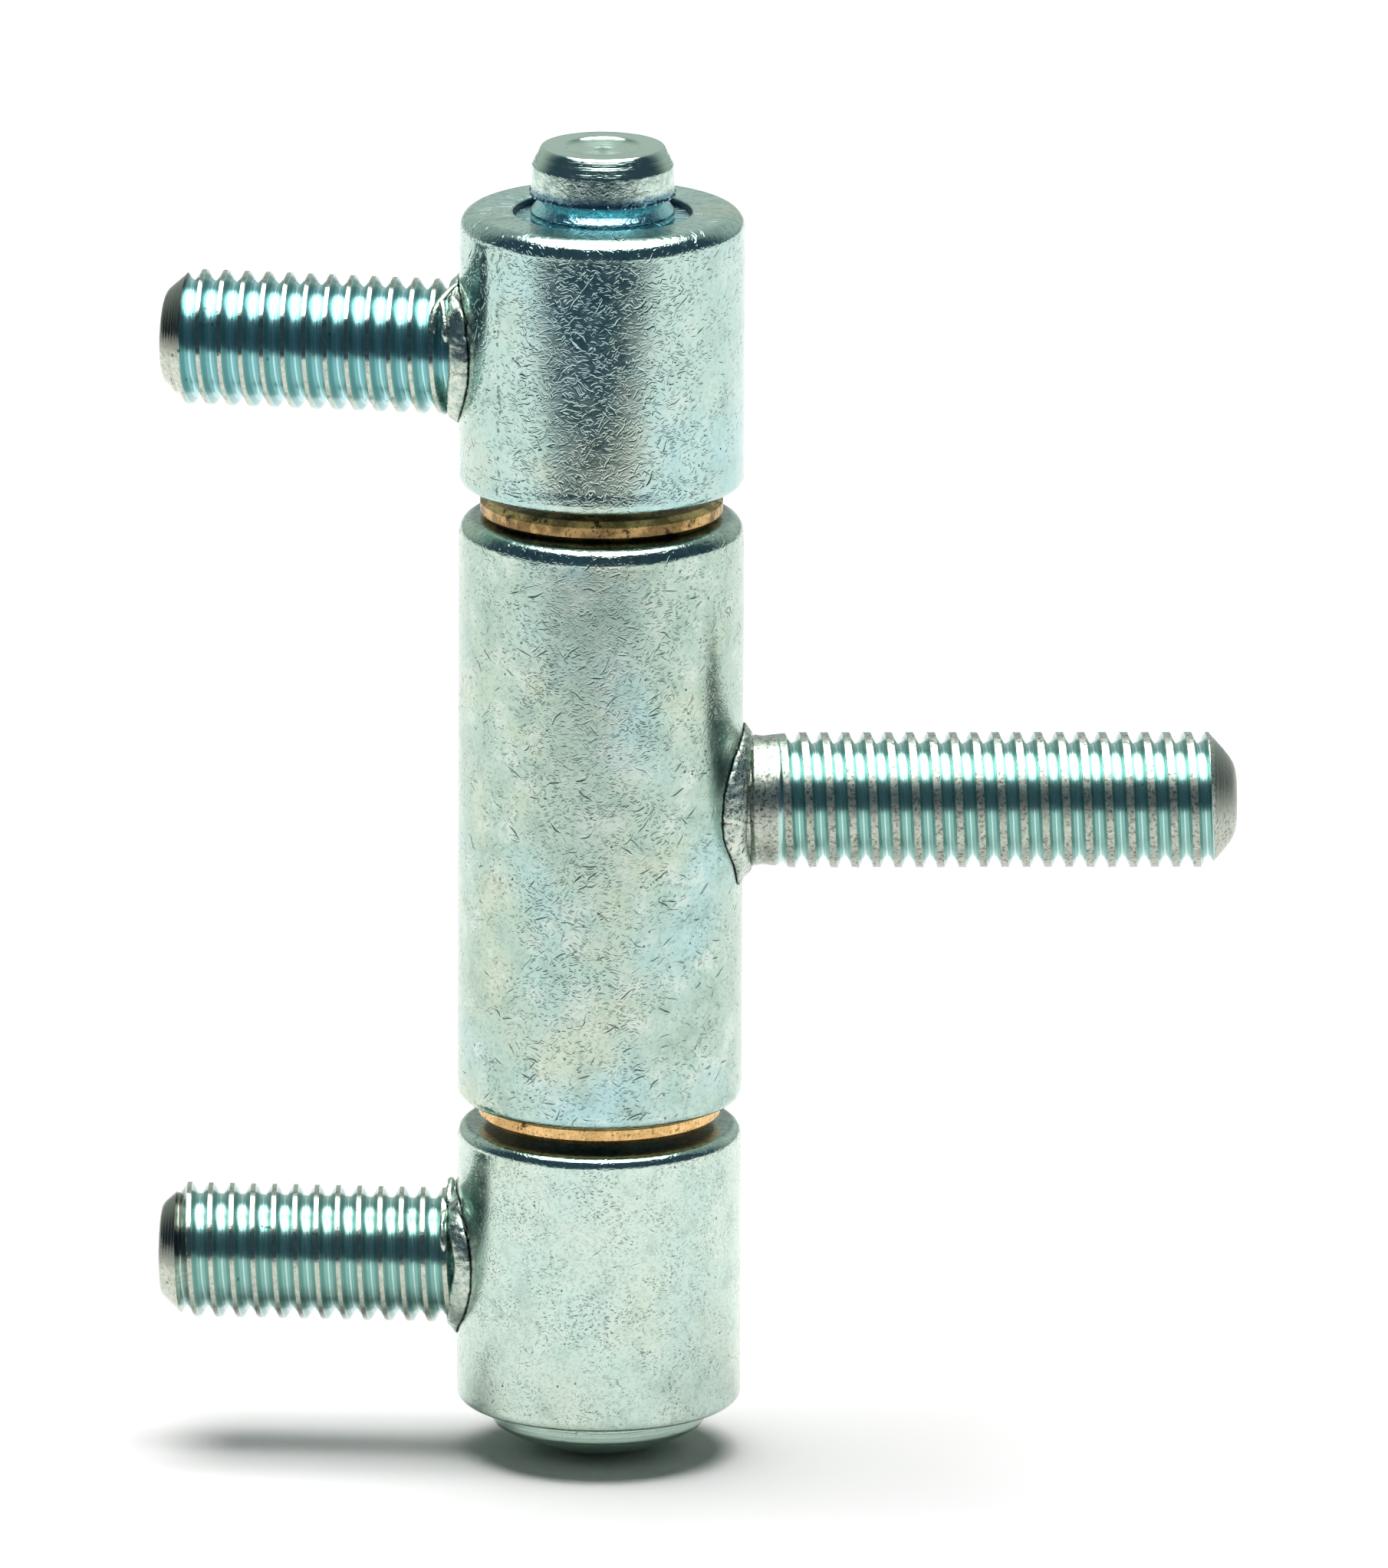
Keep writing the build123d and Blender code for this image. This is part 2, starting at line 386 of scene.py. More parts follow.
upper_strips = torn_strips("upper_stud_torn_strips", "upper_frame_side", upper_stud, [
    [(11.35, 4.5, 22, 0.14), (11.45, 4.72, 34, 0.24), (11.2, 4.92, 47, 0.28), (10.8, 5.0, 58, 0.26),
     (10.35, 5.1, 67, 0.22), (9.95, 5.25, 72, 0.12)],
    [(10.35, 4.75, 18, 0.1), (10.45, 4.92, 30, 0.22), (10.65, 4.98, 44, 0.2), (10.95, 5.0, 58, 0.1)],
    [(9.75, 5.05, 64, 0.3), (9.35, 5.25, 52, 0.26), (9.0, 5.45, 41, 0.18), (8.65, 5.7, 30, 0.06)],
])
lower_strips = torn_strips("lower_stud_torn_strips", "lower_frame_side", lower_stud, [
    [(10.4, 4.75, 64, 0.22), (10.5, 5.05, 77, 0.26), (10.45, 5.35, 88, 0.2), (10.5, 5.5, 98, 0.1)],
    [(10.6, 4.7, 18, 0.08), (10.75, 4.9, 30, 0.16), (10.8, 4.95, 43, 0.16), (10.65, 4.9, 56, 0.12)],
    [(9.6, 5.1, 60, 0.34), (9.3, 5.2, 49, 0.3), (9.05, 5.3, 40, 0.16), (8.9, 5.35, 33, 0.06)],
])

# %% [markdown]
# The pin is one turned piece. It is turned again here, with what the plain solid leaves out: a rounded rim that
# catches the light, a nub left by the tool in the middle of the dish, and its foot. There a ragged burr stands over
# a narrow neck, and below the neck a cone of about 45 degrees runs out into the recess and mirrors the soft light.

# %% Turn the pin
pin_radius = 5.0
head_radius = 7.6
head_edge_height = 1.55
dish_radius = 2.7


def softened(outline, steps=4):
    """A half outline of (radius, height, softness) whose corners become small curves."""
    points = [Vector((outline[0][0], 0, outline[0][1]))]
    for before, here, after in zip(outline, outline[1:], outline[2:]):
        corner = Vector((here[0], 0, here[1]))
        if not here[2]:
            points.append(corner)
            continue
        start = corner + (Vector((before[0], 0, before[1])) - corner).normalized() * here[2]
        finish = corner + (Vector((after[0], 0, after[1])) - corner).normalized() * here[2]
        for step in range(steps + 1):
            t = step / steps
            points.append(start * (1 - t) ** 2 + corner * 2 * t * (1 - t) + finish * t * t)
    points.append(Vector((outline[-1][0], 0, outline[-1][1])))
    return points


head_edge = bottom_low - head_edge_height
crown_height = head_edge - pin_low
crown_sphere = (squared(head_radius) + squared(crown_height)) / (2 * crown_height)
crown = [(r, pin_low + crown_sphere - sqrt(squared(crown_sphere) - r * r), 0)
         for r in (0, 1.2, 2.4, 3.6, 4.8, 6.0, 6.9)]
# Radius, height above the top knuckle, and softness: the cone in the recess, the neck, and the burr over it
foot = [
    (pin_radius, -0.5, 0), (pin_radius + 0.04, -0.46, 0), (pin_radius + 0.04, 0.02, 0.06), (4.97, 0.12, 0),
    (4.33, 0.86, 0), (4.22, 1.02, 0.06), (4.4, 1.1, 0.06), (4.85, 1.13, 0), (5.07, 1.18, 0), (5.04, 1.27, 0),
    (pin_radius, 1.4, 0), (pin_radius, 1.52, 0),
]
pin_outline = crown + [(head_radius, head_edge, 0.5), (head_radius, bottom_low, 0.12), (pin_radius, bottom_low, 0)]
pin_outline += [(radius, top_high + rise, softness) for radius, rise, softness in foot]
pin_outline += [
    (pin_radius, pin_top - 1.3, 0.12), (pin_radius - 0.7, pin_top, 0.16), (dish_radius, pin_top, 0.06),
    (dish_radius - 0.2, pin_top - 0.16, 0.08), (1.8, pin_top - 0.2, 0), (1.0, pin_top - 0.225, 0),
    (0.45, pin_top - 0.23, 0), (0.2, pin_top - 0.17, 0.05), (0, pin_top - 0.15, 0),
]
pin_shape = turned(softened(pin_outline), axis=(0, 0, 1), steps=360)
for vertex in pin_shape.verts:
    x, y, z = vertex.co
    radius = sqrt(x * x + y * y)
    if top_high + 1.11 < z < top_high + 1.33 and radius > 4.8:
        bristle = noise.noise(Vector((x * 4.5, y * 4.5, z * 2))) + 0.7 * noise.noise(Vector((x * 11, y * 11, z)))
        grown = 1 + 0.13 * max(-0.3, bristle) / radius
        vertex.co = Vector((x * grown, y * grown, z + 0.09 * bristle))
to_pin = Matrix.Translation((pin_x, 0, 0)) @ Matrix.Scale(mm, 4)
bmesh.ops.transform(pin_shape, matrix=to_pin, verts=pin_shape.verts)
turned_pin = finish_piece(pin_shape, "turned_pin", "lower_frame_side", sharp_angle=50)
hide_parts("hinge_pin")

# %% [markdown]
# Metal is made by what it mirrors, and by how finely its surface is broken up. The helpers below keep the node trees
# short. Every pattern reads Object coordinates in millimetres, so a grain of 0.3 is 0.3 mm on the real part.

# %% Helpers for the materials
class Tree:
    """A material's node tree, with short ways to add the nodes that these finishes use."""

    def __init__(self, name):
        self.material = bpy.data.materials.new(name)
        self.material.use_nodes = True
        self.nodes = self.material.node_tree.nodes
        self.links = self.material.node_tree.links
        self.shader = self.nodes["Principled BSDF"]
        self.coordinates = self.nodes.new("ShaderNodeTexCoord").outputs["Object"]

    def plug(self, socket, value):
        """Links a socket to another, or sets its value."""
        if isinstance(value, bpy.types.NodeSocket):
            self.links.new(value, socket)
        else:
            socket.default_value = value

    def math(self, operation, a, b=0.0):
        node = self.nodes.new("ShaderNodeMath")
        node.operation = operation
        self.plug(node.inputs[0], a)
        self.plug(node.inputs[1], b)
        return node.outputs[0]

    def plus(self, a, b):
        return self.math("ADD", a, b)

    def minus(self, a, b):
        return self.math("SUBTRACT", a, b)

    def times(self, a, b):
        return self.math("MULTIPLY", a, b)

    def larger(self, a, b):
        return self.math("MAXIMUM", a, b)

    def vector(self, operation, a, b=(0, 0, 0), output="Vector"):
        node = self.nodes.new("ShaderNodeVectorMath")
        node.operation = operation
        self.plug(node.inputs[0], a)
        self.plug(node.inputs[1], b)
        return node.outputs[output]

    def pieces(self, vector):
        node = self.nodes.new("ShaderNodeSeparateXYZ")
        self.plug(node.inputs[0], vector)
        return node.outputs[0], node.outputs[1], node.outputs[2]

    def together(self, x, y, z):
        node = self.nodes.new("ShaderNodeCombineXYZ")
        for socket, value in zip(node.inputs, (x, y, z)):
            self.plug(socket, value)
        return node.outputs[0]

    def ramp(self, value, low, high, out_low=0.0, out_high=1.0, smooth=True):
        """Takes a value from one range to another, held at both ends."""
        node = self.nodes.new("ShaderNodeMapRange")
        node.interpolation_type = "SMOOTHSTEP" if smooth else "LINEAR"
        for socket, number in zip(node.inputs, (value, low, high, out_low, out_high)):
            self.plug(socket, number)
        return node.outputs[0]

    def noise(self, vector, scale, detail=2.0, roughness=0.5, distortion=0.0, output="Fac"):
        """One noise from 0 to 1, or three at once as a colour, which can push a point about."""
        node = self.nodes.new("ShaderNodeTexNoise")
        self.plug(node.inputs["Vector"], vector)
        node.inputs["Scale"].default_value = scale
        node.inputs["Detail"].default_value = detail
        node.inputs["Roughness"].default_value = roughness
        node.inputs["Distortion"].default_value = distortion
        return node.outputs[output]

    def cells(self, vector, scale):
        """The distance from the nearest of many scattered points."""
        node = self.nodes.new("ShaderNodeTexVoronoi")
        self.plug(node.inputs["Vector"], vector)
        node.inputs["Scale"].default_value = scale
        return node.outputs["Distance"]

    def mix(self, share, a, b):
        node = self.nodes.new("ShaderNodeMix")
        node.data_type = "RGBA"
        self.plug(node.inputs["Factor"], share)
        self.plug(node.inputs["A"], node_colour(a))
        self.plug(node.inputs["B"], node_colour(b))
        return node.outputs["Result"]

    def bump(self, height, depth_mm, under=None):
        """Relief of a depth in mm, on top of another relief if one is given."""
        node = self.nodes.new("ShaderNodeBump")
        node.inputs["Distance"].default_value = depth_mm * mm
        self.plug(node.inputs["Height"], height)
        if under is not None:
            self.plug(node.inputs["Normal"], under)
        return node.outputs["Normal"]

    def metal(self, colour, roughness, normal):
        """Makes the surface a metal of this colour, roughness and relief, and gives back its material."""
        for name, value in (("Base Color", colour), ("Roughness", roughness), ("Normal", normal)):
            self.plug(self.shader.inputs[name], value)
        self.shader.inputs["Metallic"].default_value = 1.0
        return self.material


def node_colour(value):
    """A three-number colour gets its fourth number, and a socket stays as it is."""
    return (*value, 1.0) if isinstance(value, tuple) and len(value) == 3 else value


# %% [markdown]
# Marks on the barrels are left by drawing and by tumbling in the plating drum: short curved nicks that lie every way,
# many of them faint and a few deep. Each layer of nicks is made of cells stretched along one direction, and the
# number that belongs to a cell says how deep its nick is, or that it has none. A slow noise bends the nicks.

# %% Helpers for marks round the barrel
def round_barrel(tree):
    """Coordinates unrolled from the barrel: millimetres round it from the front, and up it. Also the point in mm."""
    point = tree.vector("MULTIPLY", tree.coordinates, (1 / mm, 1 / mm, 1 / mm))
    from_axis = tree.vector("SUBTRACT", point, (pin_x / mm, 0, 0))
    x, y, z = tree.pieces(from_axis)
    angle = tree.math("ARCTAN2", x, tree.times(y, -1.0))
    return tree.together(tree.times(angle, barrel_radius), z, 0.0), from_axis


def nicks(tree, unrolled, turn, length, width, keep, seed):
    """A layer of nicks at one angle. Only the share keep of its cells has one, and their depth runs from 0 to 1."""
    node = tree.nodes.new("ShaderNodeMapping")
    node.vector_type = "TEXTURE"
    tree.plug(node.inputs["Vector"], unrolled)
    node.inputs["Rotation"].default_value = (0, 0, radians(turn))
    node.inputs["Location"].default_value = (seed, seed * 1.7, 0)
    node.inputs["Scale"].default_value = (length, width, 1)
    cells = tree.nodes.new("ShaderNodeTexVoronoi")
    cells.voronoi_dimensions = "2D"
    tree.plug(cells.inputs["Vector"], node.outputs[0])
    cells.inputs["Scale"].default_value = 1.0
    near = tree.ramp(cells.outputs["Distance"], 0.30, 0.06)
    chance = tree.pieces(cells.outputs["Color"])[0]
    depth = tree.math("POWER", tree.ramp(chance, 1.0 - keep, 1.0, smooth=False), 1.6)
    return tree.times(near, depth)


def layered_nicks(tree, unrolled, layers, seed):
    """The deepest of several layers, each given as (turn, length, width, keep)."""
    deepest = 0.0
    for number, (turn, length, width, keep) in enumerate(layers):
        deepest = tree.larger(nicks(tree, unrolled, turn, length, width, keep, seed + 9 * number), deepest)
    return deepest


# %% [markdown]
# The knuckles are drawn steel with bright zinc over it. Where the drawing left the skin smooth the zinc is almost a
# mirror, but wrinkled like orange peel. Where it was rough the zinc is satin and shows as an even pale green. One
# recipe takes the roughness and the depth of the creases, and each knuckle gets its own mixture. The rounded ends
# were polished by the drum, so they are glossier than the sides.

# %% Zinc on the knuckles
cool_blue = (0.40, 0.61, 0.625)
straw = (0.57, 0.615, 0.47)
pale_cloud = (0.68, 0.76, 0.69)
dull_cloud = (0.27, 0.38, 0.33)
dull_speck = (0.24, 0.34, 0.29)
deep_teal = (0.05, 0.09, 0.085)
painted_recess_reflection = (0.36, 0.62, 0.66)
painted_recess_wall_shade = (0.03, 0.07, 0.10)
recess_radius = 6.2
# Each layer of nicks is (angle in degrees, length in mm, width in mm, share of its cells that hold a nick)
small_nicks = [
    (24, 1.15, 0.27, 0.8), (-22, 1.0, 0.26, 0.8), (3, 1.2, 0.28, 0.7), (55, 1.0, 0.26, 0.6), (-60, 0.9, 0.26, 0.5),
]
long_nicks = [(36, 2.3, 0.3, 0.10), (-38, 2.4, 0.3, 0.08), (6, 1.9, 0.34, 0.06), (66, 2.4, 0.3, 0.06)]


def zinc_knuckle(name, node, seed, base, roughness, nick_size, nick_depth, nick_dark, long_share, cloud_share,
                 tint, edge_round, painted_gap_shade=0.0, seam=None):
    """Bright zinc on a knuckle: colour clouds, peel, nicks, fine grain, a few pits and stains, and painted shade on
    the top face by the bush.
    """
    tree = Tree(name)
    unrolled, point = round_barrel(tree)
    low, high = (corner.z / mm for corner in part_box(node))
    height = tree.pieces(point)[2]
    shifted = tree.vector("ADD", point, (seed, seed * 2.3, seed * 0.7))
    drift = tree.noise(shifted, 0.09, 2.0, 0.5)
    warm = tree.noise(tree.vector("ADD", shifted, (40, 0, 15)), 0.13, 2.5, 0.55)
    colour = tree.mix(tree.ramp(drift, 0.44, 0.74, 0.0, tint), base, cool_blue)
    colour = tree.mix(tree.ramp(warm, 0.48, 0.74, 0.0, 0.8 * tint), colour, straw)
    clouds = tree.noise(shifted, 0.42, 4.0, 0.6)
    speckle = tree.noise(shifted, 2.4, 3.0, 0.6)
    colour = tree.mix(tree.ramp(clouds, 0.50, 0.68, 0.0, cloud_share), colour, pale_cloud)
    colour = tree.mix(tree.ramp(clouds, 0.48, 0.32, 0.0, cloud_share), colour, dull_cloud)
    colour = tree.mix(tree.ramp(speckle, 0.50, 0.30, 0.0, 0.35), colour, dull_cloud)
    specks = tree.ramp(tree.noise(shifted, 4.2, 3.0, 0.65, 0.5), 0.58, 0.66, 0.0, cloud_share)
    colour = tree.mix(specks, colour, dull_speck)

    pushes = tree.vector("SUBTRACT", tree.noise(shifted, 0.55, 1.0, output="Color"), (0.5, 0.5, 0.5))
    bent = tree.vector("ADD", unrolled, tree.vector("MULTIPLY", pushes, (1.3, 1.3, 0)))
    crowd = tree.ramp(tree.noise(shifted, 0.45, 2.0, 0.6), 0.36, 0.62, 0.35, 1.0)
    layers = [(turn, length * nick_size, width * sqrt(nick_size), keep) for turn, length, width, keep in small_nicks]
    small = tree.times(layered_nicks(tree, bent, layers, seed), crowd)
    long = tree.times(layered_nicks(tree, bent, long_nicks, seed + 50), long_share)
    peel = tree.noise(tree.vector("MULTIPLY", shifted, (1.0, 1.0, 1.5)), 0.9, 2.0, 0.5, 0.6)
    grain = tree.noise(shifted, 5.5, 3.0, 0.6)
    pits = tree.times(tree.ramp(tree.cells(shifted, 0.9), 0.10, 0.05), tree.ramp(clouds, 0.46, 0.54))
    stains = tree.ramp(tree.noise(tree.vector("ADD", shifted, (9, 31, 4)), 0.75, 3.0, 0.6, 0.4), 0.69, 0.73)
    dark = tree.larger(tree.times(small, nick_dark), tree.ramp(long, 0.1, 1.0, 0.0, 0.7))
    dark = tree.larger(dark, tree.times(pits, 0.7))
    dark = tree.larger(dark, tree.times(stains, 0.45))
    if seam is not None:
        beside = tree.math("ABSOLUTE", tree.minus(tree.pieces(bent)[0], seam * barrel_radius))
        broken = tree.ramp(tree.noise(shifted, 1.6, 3.0, 0.7), 0.48, 0.60)
        line = tree.times(tree.ramp(beside, 0.2, 0.06), broken)
        dark = tree.larger(dark, tree.times(line, 0.8))
    colour = tree.mix(dark, colour, deep_teal)
    radius = tree.vector("LENGTH", tree.together(tree.pieces(point)[0], tree.pieces(point)[1], 0.0), output="Value")
    inner_end = tree.times(tree.ramp(height, high - 0.45 * edge_round, high - 0.25 * edge_round),
                          tree.ramp(radius, barrel_radius - 0.45 * edge_round, barrel_radius - 0.9 * edge_round))
    # Painted shade: the flat top face round the bush, under the next knuckle, is darkened towards deep teal.
    painted_gap_shade_mask = tree.times(inner_end, tree.ramp(speckle, 0.25, 0.6, painted_gap_shade, painted_gap_shade * 0.6))
    colour = tree.mix(painted_gap_shade_mask, colour, deep_teal)
    if seam is not None:
        below_end = tree.ramp(height, high - 0.05, high - 0.15)
        recess = tree.times(tree.ramp(radius, recess_radius + 0.25, recess_radius + 0.1), below_end)
        wall = tree.times(recess, tree.ramp(radius, recess_radius - 0.2, recess_radius - 0.05))
        # Painted reflection and painted shade: the recess round the pin is tinted teal, and its wall is dark blue.
        colour = tree.mix(recess, colour, painted_recess_reflection)
        colour = tree.mix(wall, colour, painted_recess_wall_shade)

    to_end = tree.math("MINIMUM", tree.minus(height, low), tree.minus(high, height))
    polish = tree.ramp(to_end, 1.6, 0.9)
    rough = tree.ramp(clouds, 0.35, 0.65, roughness - 0.03, roughness + 0.03)
    rough = tree.plus(rough, tree.times(dark, 0.12))
    glossy = tree.math("MINIMUM", rough, 0.12)
    rough = tree.plus(tree.times(glossy, polish), tree.times(rough, tree.minus(1.0, polish)))
    rough = tree.plus(rough, tree.times(inner_end, 0.12))
    lumps = tree.times(tree.noise(shifted, 3.0, 3.0, 0.65), polish)
    normal = tree.bump(peel, 0.006)
    normal = tree.bump(lumps, 0.024, under=normal)
    normal = tree.bump(tree.minus(1.0, small), nick_depth, under=normal)
    normal = tree.bump(tree.minus(1.0, tree.larger(long, pits)), 0.03, under=normal)
    normal = tree.bump(grain, 0.0018 + 0.008 * (roughness - 0.1), under=normal)
    return tree.metal(colour, rough, normal)


def dress(node, material):
    """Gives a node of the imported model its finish."""
    for slot in frame["nodes"][node].material_slots:
        slot.material = material
    print(node, "wears", material.name)


dress("top_knuckle", zinc_knuckle(
    "bright_wrinkled_zinc", "top_knuckle", seed=3.0, base=(0.445, 0.605, 0.55), roughness=0.11, nick_size=0.75,
    nick_depth=0.022, nick_dark=0.35, long_share=0.8, cloud_share=0.28, tint=0.8, edge_round=1.25, seam=-0.827,
))
dress("middle_knuckle", zinc_knuckle(
    "satin_zinc", "middle_knuckle", seed=17.0, base=(0.43, 0.56, 0.475), roughness=0.21, nick_size=0.66,
    nick_depth=0.013, nick_dark=0.55, long_share=0.9, cloud_share=0.50, tint=0.85, edge_round=1.25, painted_gap_shade=0.85,
))
dress("bottom_knuckle", zinc_knuckle(
    "soft_satin_zinc", "bottom_knuckle", seed=29.0, base=(0.55, 0.67, 0.585), roughness=0.19, nick_size=0.46,
    nick_depth=0.009, nick_dark=0.70, long_share=0.35, cloud_share=0.34, tint=0.4, edge_round=0.8, painted_gap_shade=0.85,
))

# %% [markdown]
# The pin's end shows fine rings round the axis, left by the lathe, and its side is mottled where it was rolled. The
# rings are noise read along the distance from the axis, and they are kept to the end face, the chamfer and the head.

# %% Zinc on the pin
def zinc_pin(name):
    tree = Tree(name)
    point = round_barrel(tree)[1]
    x, y, z = tree.pieces(point)
    radius = tree.vector("LENGTH", tree.together(x, y, 0.0), output="Value")
    end = tree.ramp(z, pin_top - 1.35, pin_top - 1.2)
    head = tree.ramp(z, bottom_low + 0.1, bottom_low - 0.1)
    turned_part = tree.larger(end, head)
    above_barrel = tree.ramp(z, top_high - 3, top_high - 2)
    painted_foot_reflection = tree.times(tree.ramp(z, top_high + 1.3, top_high + 1.15), above_barrel)
    mottle = tree.noise(tree.vector("MULTIPLY", point, (1.0, 1.0, 0.8)), 1.5, 5.0, 0.65)
    colour = tree.mix(tree.ramp(mottle, 0.36, 0.66), (0.56, 0.69, 0.61), (0.36, 0.48, 0.42))
    colour = tree.mix(end, colour, (0.47, 0.60, 0.52))
    # Painted shade: a ragged dark blue band round the pin's side just above its foot, for the dark reflection there.
    ragged = tree.plus(z, tree.times(tree.noise(point, 2.2, 3.0, 0.6), 0.9))
    painted_foot_shade = tree.times(tree.ramp(ragged, top_high + 2.45, top_high + 1.95), above_barrel)
    colour = tree.mix(painted_foot_shade, colour, (0.14, 0.27, 0.33))
    # Painted reflection: the foot's cone is tinted cyan.
    colour = tree.mix(painted_foot_reflection, colour, (0.36, 0.66, 0.72))
    # Painted shade: the head is coloured darker than the side, for the shade near the table.
    colour = tree.mix(head, colour, (0.42, 0.55, 0.475))
    specks = tree.times(tree.ramp(tree.noise(point, 2.6, 4.0, 0.7), 0.60, 0.68), tree.minus(1.0, end))
    colour = tree.mix(tree.times(specks, 0.55), colour, deep_teal)
    spiral = tree.plus(radius, tree.times(tree.noise(point, 0.8, 2.0), 0.35))
    rings = tree.noise(tree.together(tree.times(spiral, 3.6), tree.times(z, 4.5), 0.0), 1.0, 3.0, 0.6)
    peel = tree.noise(tree.vector("MULTIPLY", point, (1.0, 1.0, 1.6)), 1.9, 3.0, 0.6, 1.0)
    normal = tree.bump(tree.times(rings, turned_part), 0.05)
    normal = tree.bump(tree.times(peel, tree.minus(1.0, turned_part)), 0.045, under=normal)
    normal = tree.bump(tree.noise(point, 6.0, 4.0, 0.7), 0.005, under=normal)
    return tree.metal(colour, tree.ramp(mottle, 0.35, 0.70, 0.09, 0.2), normal)


turned_pin.data.materials.append(zinc_pin("turned_zinc"))

# %% [markdown]
# The bushes are pressed from bronze powder and then sized, so they are bright and warm where the die rubbed them,
# with a fine dark grain between and dark oily patches on one side.

# %% Bronze on the bushes
def sintered_bronze(name, bright, brown, oiliness):
    """Bronze with brown patches, dark grain, and oil on a share of it."""
    tree = Tree(name)
    point = round_barrel(tree)[1]
    patches = tree.noise(point, 0.45, 4.0, 0.65)
    grain = tree.noise(point, 4.5, 5.0, 0.75)
    oil = tree.noise(tree.vector("ADD", point, (3, 8, 2)), 0.9, 5.0, 0.7)
    colour = tree.mix(tree.ramp(patches, 0.42, 0.60), bright, brown)
    colour = tree.mix(tree.ramp(grain, 0.52, 0.66, 0.0, 0.85), colour, (0.10, 0.06, 0.025))
    colour = tree.mix(tree.ramp(oil, 0.66 - oiliness, 0.72 - oiliness, 0.0, 0.9), colour, (0.035, 0.028, 0.02))
    normal = tree.bump(grain, 0.012, under=tree.bump(patches, 0.03))
    return tree.metal(colour, tree.ramp(grain, 0.3, 0.7, 0.26, 0.5), normal)


# Two copies of one bronze: the upper bush is darker, as painted shade under the top knuckle, and the lower bush
# lighter, as painted light.
brown_bronze = sintered_bronze("brown_bronze", bright=(0.66, 0.43, 0.18), brown=(0.26, 0.17, 0.07), oiliness=0.08)
bright_bronze = sintered_bronze("bright_bronze", bright=(0.92, 0.61, 0.27), brown=(0.74, 0.46, 0.19), oiliness=0.04)
dress("upper_bush", brown_bronze)
dress("lower_bush", bright_bronze)

# %% [markdown]
# On the threads, rolling polished the roots and flanks to a teal mirror with fine lines along the groove, and left
# the crests speckled and cream. The material follows the helix: the place along the stud, less a share of the pitch
# for the angle round it, gives a phase that is the same all along the groove. The turned end has fine rings.

# %% Zinc on the threads
teal_root = (0.50, 0.72, 0.68)
blue_root = (0.45, 0.72, 0.73)
painted_flank_shade = (0.08, 0.19, 0.17)
bright_crest = (0.58, 0.62, 0.53)
speckled_crest = (0.50, 0.54, 0.465)
root_rough = 0.22


def along_stud(tree, stud):
    """The point in mm from the stud's start, its place along the stud, distance from its axis, and thread phase."""
    from_start = tree.vector("SUBTRACT", tree.coordinates, tuple(stud["start"]))
    point = tree.vector("MULTIPLY", from_start, (1 / mm, 1 / mm, 1 / mm))
    along = tree.vector("DOT_PRODUCT", point, tuple(stud["direction"]), output="Value")
    side = tree.vector("DOT_PRODUCT", point, tuple(Vector((0, 0, 1)).cross(stud["direction"])), output="Value")
    up = tree.pieces(point)[2]
    radius = tree.vector("LENGTH", tree.together(side, up, 0.0), output="Value")
    turn = tree.math("DIVIDE", tree.math("ARCTAN2", tree.times(side, -1.0), up), 2 * pi)
    pitches = tree.math("DIVIDE", tree.minus(along, stud["crest_at"]), thread_pitch)
    phase = tree.math("FRACT", tree.plus(tree.minus(pitches, turn), 100.5))
    return point, along, radius, phase


def zinc_thread(name, stud, seed, root_colour, neck_end, roughen, crest_rough, crest_colour, speckle, tip_shade):
    """A bright groove between speckled crests, with the neck and the turned end finished like the crests, and painted
    shade on the flanks and on the upper half of the end.
    """
    tree = Tree(name)
    point, along, radius, phase = along_stud(tree, stud)
    shifted = tree.vector("ADD", point, (seed, 0, seed * 1.3))
    grain = tree.noise(shifted, 3.2, 5.0, 0.72)
    from_crest = tree.math("ABSOLUTE", tree.minus(phase, 0.5))
    ragged = tree.plus(from_crest, tree.times(tree.minus(grain, 0.5), 0.07))
    half = stud["crest_half"]
    crest = tree.ramp(ragged, half + 0.012, half - 0.018)
    end = tree.ramp(along, stud["reach"] - 1.75, stud["reach"] - 1.6)
    neck = tree.ramp(along, neck_end, neck_end - 0.4)
    flat_part = tree.larger(tree.larger(crest, neck), end)
    lines = tree.noise(tree.together(tree.times(phase, 26.0), seed, 0.0), 1.0, 3.0, 0.6)
    root = tree.mix(tree.ramp(lines, 0.35, 0.65), root_colour, tuple(0.82 * c for c in root_colour))
    cream = tree.mix(tree.ramp(grain, 0.38, 0.60), crest_colour, tuple(0.75 * c for c in crest_colour))
    specks = tree.ramp(tree.noise(shifted, 4.0, 4.0, 0.7), 0.50, 0.62, 0.0, speckle)
    cream = tree.mix(specks, cream, (0.13, 0.15, 0.12))
    # Painted shade: the flanks between crest and root are darkened towards dark teal.
    painted_flank_mask = tree.times(tree.ramp(from_crest, half + 0.005, half + 0.04), tree.ramp(from_crest, 0.34, 0.27))
    root = tree.mix(tree.times(painted_flank_mask, 0.45), root, painted_flank_shade)
    # Painted shade: the upper half of the turned end is darkened by tip_shade.
    above = tree.ramp(tree.pieces(point)[2], -1.0, 0.8)
    cream = tree.mix(tree.times(end, above), cream, tuple(tip_shade * c for c in crest_colour))
    colour = tree.mix(flat_part, root, cream)
    dirty_part = tree.ramp(tree.noise(shifted, 0.25, 1.0), 0.45, 0.6)
    dirt = tree.times(tree.ramp(tree.cells(shifted, 0.75), 0.13, 0.07), dirty_part)
    colour = tree.mix(tree.times(dirt, 0.8), colour, (0.04, 0.05, 0.035))
    rough = tree.mix(flat_part, (root_rough,) * 3, (crest_rough,) * 3)
    rings = tree.noise(tree.together(tree.times(along, 6.0), tree.times(radius, 6.0), 0.0), 1.0, 2.0)
    normal = tree.bump(lines, 0.006)
    normal = tree.bump(tree.times(rings, end), 0.03, under=normal)
    normal = tree.bump(tree.times(grain, flat_part), roughen, under=normal)
    return tree.metal(colour, rough, normal)
